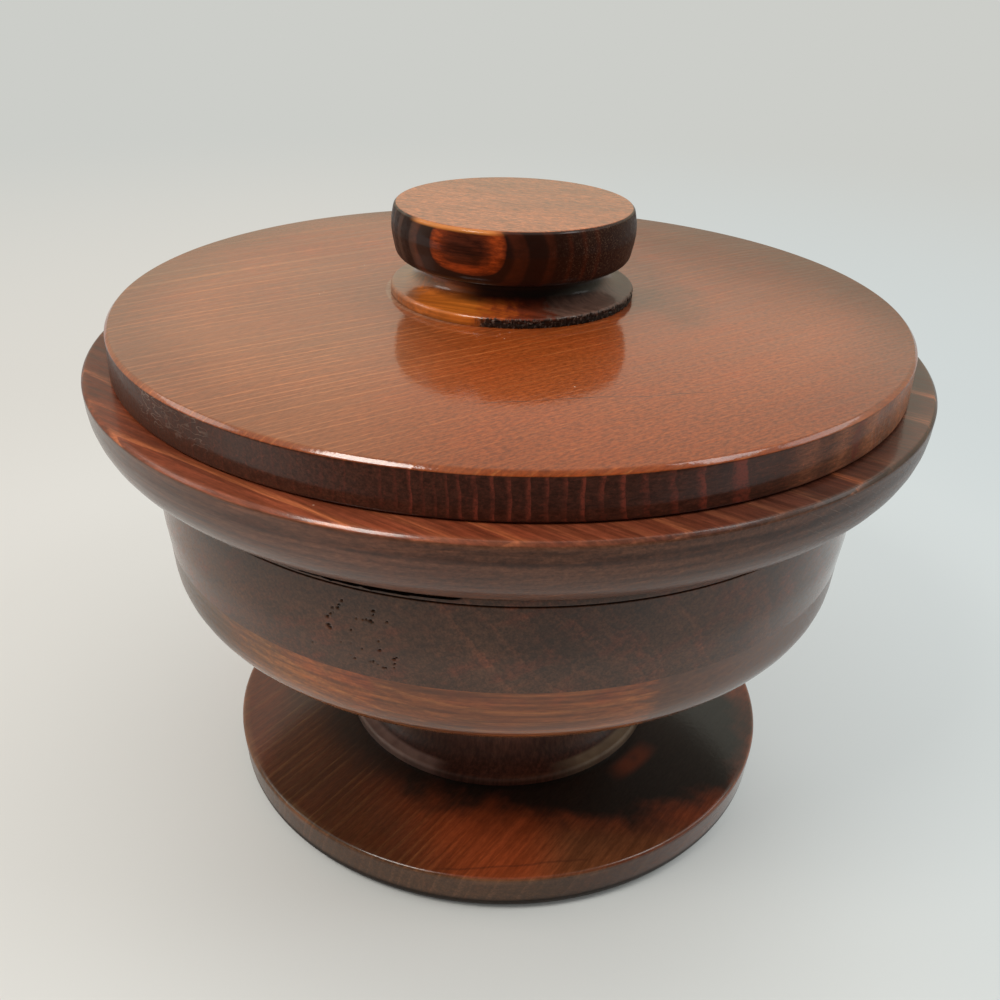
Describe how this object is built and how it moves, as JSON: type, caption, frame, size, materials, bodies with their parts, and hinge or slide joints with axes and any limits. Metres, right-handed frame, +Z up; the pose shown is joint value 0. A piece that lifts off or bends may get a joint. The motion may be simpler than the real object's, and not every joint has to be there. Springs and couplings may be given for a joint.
{
  "type": "lidded pedestal bowl",
  "caption": "Turned wooden bowl on a waisted pedestal foot, with a flat domed lid that lifts off by its mushroom knob.",
  "frame": {"origin": "centre of the foot's flat underside, on the turning axis", "axes": "+Z up along the turning axis, from the foot to the knob; X and Y are free, because every piece is round"},
  "size_m": [0.2312, 0.2312, 0.1747],
  "materials": {
    "foot_wood": "stained softwood, glossy varnish",
    "stem_wood": "stained softwood, glossy varnish",
    "base_wood": "stained softwood, glossy varnish",
    "wall_wood": "dark stained softwood, glossy varnish",
    "rim_wood": "stained softwood, glossy varnish",
    "lid_wood": "stained softwood, glossy varnish",
    "disc_wood": "stained softwood, thin satin varnish",
    "knob_wood": "stained softwood, glossy varnish"
  },
  "bodies": {
    "bowl": {"foot": "foot_wood", "stem": "stem_wood", "bowl_base": "base_wood", "bowl_wall": "wall_wood", "bowl_rim": "rim_wood"},
    "lid": {"lid_board": "lid_wood", "lid_locating_disc": "disc_wood", "lid_knob": "knob_wood"}
  },
  "joints": [
    {"name": "lid_lift", "type": "slide", "parent": "bowl", "child": "lid", "axis": [0, 0, 1], "range_m": [0, 0.12]}
  ]
}
